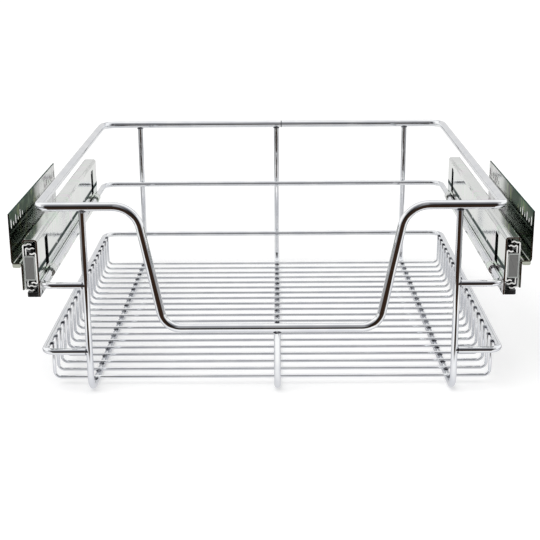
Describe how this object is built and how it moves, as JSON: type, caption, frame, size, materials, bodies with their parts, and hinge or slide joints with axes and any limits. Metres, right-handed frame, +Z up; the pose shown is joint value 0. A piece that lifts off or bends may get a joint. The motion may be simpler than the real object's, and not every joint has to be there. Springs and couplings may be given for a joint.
{
  "type": "pull-out cabinet wire basket",
  "caption": "Shallow chromed wire basket with a dipped front rail, hung on a pair of ball-bearing runners with cabinet wall brackets.",
  "frame": {"origin": "on the plane that the basket's three stringers stand on, under the middle of the whole assembly", "axes": "+X to the right of the person who pulls the basket, +Y into the cabinet, away from that person, +Z up"},
  "size_m": [0.464, 0.4131, 0.1802],
  "materials": {
    "chrome_wire": "mirror-bright chrome plate on drawn steel wire",
    "zinc_plate": "pale satin zinc plate",
    "slide_steel": "zinc-plated cold-rolled steel",
    "bracket_steel": "bright passivated zinc with faint rainbow tints",
    "ball_steel": "polished bearing steel",
    "black_plastic": "black moulded plastic",
    "grey_plastic": "grey moulded plastic"
  },
  "bodies": {
    "cabinet_sides": {"wall_bracket_left": "bracket_steel", "bracket_rivets_left": "slide_steel", "cabinet_member_left": "slide_steel", "outer_guides_left": "black_plastic", "wall_bracket_right": "bracket_steel", "bracket_rivets_right": "slide_steel", "cabinet_member_right": "slide_steel", "outer_guides_right": "black_plastic"},
    "basket": {"top_rail": "chrome_wire", "carrier_wire": "chrome_wire", "rim_wire": "chrome_wire", "stringer_left": "chrome_wire", "stringer_middle": "chrome_wire", "stringer_right": "chrome_wire", "floor_wire_01": "chrome_wire", "floor_wire_02": "chrome_wire", "floor_wire_03": "chrome_wire", "floor_wire_04": "chrome_wire", "floor_wire_05": "chrome_wire", "floor_wire_06": "chrome_wire", "floor_wire_07": "chrome_wire", "floor_wire_08": "chrome_wire", "floor_wire_09": "chrome_wire", "floor_wire_10": "chrome_wire", "floor_wire_11": "chrome_wire", "floor_wire_12": "chrome_wire", "floor_wire_13": "chrome_wire", "floor_wire_14": "chrome_wire", "floor_wire_15": "chrome_wire", "floor_wire_16": "chrome_wire", "floor_wire_17": "chrome_wire", "floor_wire_18": "chrome_wire", "floor_wire_19": "chrome_wire", "floor_wire_20": "chrome_wire", "hook_plate_left": "zinc_plate", "plate_rivets_left": "slide_steel", "drawer_member_left": "slide_steel", "front_buffer_left": "grey_plastic", "foot_block_left": "black_plastic", "hook_plate_right": "zinc_plate", "plate_rivets_right": "slide_steel", "drawer_member_right": "slide_steel", "front_buffer_right": "grey_plastic", "foot_block_right": "black_plastic"},
    "middle_left": {"middle_member_left": "slide_steel", "inner_guides_left": "black_plastic"},
    "outer_cage_left": {"outer_cage_left": "slide_steel", "outer_balls_left": "ball_steel"},
    "inner_cage_left": {"inner_cage_left": "slide_steel", "inner_balls_left": "ball_steel"},
    "middle_right": {"middle_member_right": "slide_steel", "inner_guides_right": "black_plastic"},
    "outer_cage_right": {"outer_cage_right": "slide_steel", "outer_balls_right": "ball_steel"},
    "inner_cage_right": {"inner_cage_right": "slide_steel", "inner_balls_right": "ball_steel"}
  },
  "joints": [
    {"name": "basket_slide", "type": "slide", "parent": "cabinet_sides", "child": "basket", "axis": [0, -1, 0], "range_m": [0, 0.35]},
    {"name": "middle_left_slide", "type": "slide", "parent": "cabinet_sides", "child": "middle_left", "axis": [0, -1, 0], "range_m": [0, 0.175]},
    {"name": "outer_cage_left_slide", "type": "slide", "parent": "cabinet_sides", "child": "outer_cage_left", "axis": [0, -1, 0], "range_m": [0, 0.0875]},
    {"name": "inner_cage_left_slide", "type": "slide", "parent": "cabinet_sides", "child": "inner_cage_left", "axis": [0, -1, 0], "range_m": [0, 0.2625]},
    {"name": "middle_right_slide", "type": "slide", "parent": "cabinet_sides", "child": "middle_right", "axis": [0, -1, 0], "range_m": [0, 0.175]},
    {"name": "outer_cage_right_slide", "type": "slide", "parent": "cabinet_sides", "child": "outer_cage_right", "axis": [0, -1, 0], "range_m": [0, 0.0875]},
    {"name": "inner_cage_right_slide", "type": "slide", "parent": "cabinet_sides", "child": "inner_cage_right", "axis": [0, -1, 0], "range_m": [0, 0.2625]}
  ],
  "couplings": [
    {"joint": "middle_left_slide", "follows": "basket_slide", "ratio": 0.5},
    {"joint": "outer_cage_left_slide", "follows": "basket_slide", "ratio": 0.25},
    {"joint": "inner_cage_left_slide", "follows": "basket_slide", "ratio": 0.75},
    {"joint": "middle_right_slide", "follows": "basket_slide", "ratio": 0.5},
    {"joint": "outer_cage_right_slide", "follows": "basket_slide", "ratio": 0.25},
    {"joint": "inner_cage_right_slide", "follows": "basket_slide", "ratio": 0.75}
  ]
}
